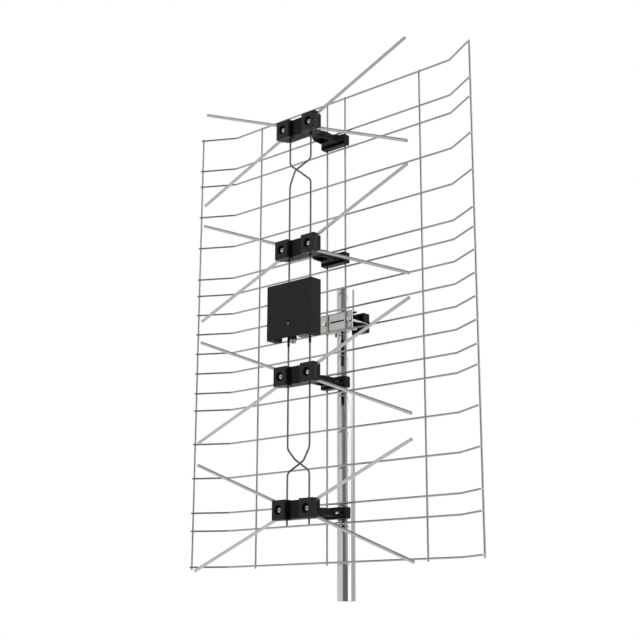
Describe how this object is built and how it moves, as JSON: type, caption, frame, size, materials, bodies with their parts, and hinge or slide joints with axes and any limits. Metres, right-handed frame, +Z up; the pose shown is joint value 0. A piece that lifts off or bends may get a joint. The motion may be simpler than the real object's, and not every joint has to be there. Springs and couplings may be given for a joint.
{
  "type": "bow-tie panel tv antenna",
  "caption": "Upright UHF panel antenna: bow-tie elements on moulded standoffs before a bent wire-grid reflector, with a feed housing, clamped to a round mast.",
  "frame": {"origin": "centre of the mast's foot", "axes": "+Z up the mast, -Y the way the bow ties face, +X to the right as seen from the front"},
  "size_m": [0.586, 0.1696, 0.829],
  "materials": {
    "grid_wire": "bright plated wire",
    "element_rod": "satin drawn rod",
    "feed_wire": "bright plated wire",
    "black_moulding": "semi-gloss moulded",
    "black_sleeve": "satin tubing",
    "grey_rubber": "matt",
    "housing_plastic": "fine matt moulded",
    "jaw_plastic": "semi-gloss moulded",
    "mast_chrome": "mirror plated",
    "bracket_steel": "satin plated sheet",
    "board_laminate": "solder mask",
    "ferrite": "sintered",
    "socket_nickel": "nickel plated",
    "lens_clear": "clear moulded",
    "terminal_brass": "bare stamping",
    "bright_screw": "bright zinc plated"
  },
  "bodies": {
    "root": {"balun_core": "ferrite", "bolt_nuts": "bright_screw", "cable_grommet": "grey_rubber", "circuit_board": "board_laminate", "clamp_bolts": "bright_screw", "clamp_caps": "black_moulding", "clamp_nuts": "bright_screw", "clamp_pad": "jaw_plastic", "clamp_screws": "bright_screw", "clamp_washers": "bright_screw", "coax_socket": "socket_nickel", "element_1_left": "element_rod", "element_1_right": "element_rod", "element_2_left": "element_rod", "element_2_right": "element_rod", "element_3_left": "element_rod", "element_3_right": "element_rod", "element_4_left": "element_rod", "element_4_right": "element_rod", "feed_line_front": "feed_wire", "feed_line_rear": "feed_wire", "feed_sleeves": "black_sleeve", "housing_lid": "housing_plastic", "housing_shell": "housing_plastic", "indicator_lens": "lens_clear", "lid_screws": "bright_screw", "mast": "mast_chrome", "mast_bracket": "bracket_steel", "mast_jaw": "jaw_plastic", "reflector_rod_01": "grid_wire", "reflector_rod_02": "grid_wire", "reflector_rod_03": "grid_wire", "reflector_rod_04": "grid_wire", "reflector_rod_05": "grid_wire", "reflector_rod_06": "grid_wire", "reflector_rod_07": "grid_wire", "reflector_rod_08": "grid_wire", "reflector_rod_09": "grid_wire", "reflector_rod_10": "grid_wire", "reflector_rod_11": "grid_wire", "reflector_rod_12": "grid_wire", "reflector_rod_13": "grid_wire", "reflector_rod_14": "grid_wire", "reflector_rod_15": "grid_wire", "reflector_rod_16": "grid_wire", "reflector_rod_17": "grid_wire", "reflector_rod_18": "grid_wire", "standoff_1": "black_moulding", "standoff_2": "black_moulding", "standoff_3": "black_moulding", "standoff_4": "black_moulding", "terminal_screws": "bright_screw", "terminal_straps": "terminal_brass", "upright_left_edge": "grid_wire", "upright_left_inner": "grid_wire", "upright_left_outer": "grid_wire", "upright_right_edge": "grid_wire", "upright_right_inner": "grid_wire", "upright_right_outer": "grid_wire"}
  },
  "joints": []
}
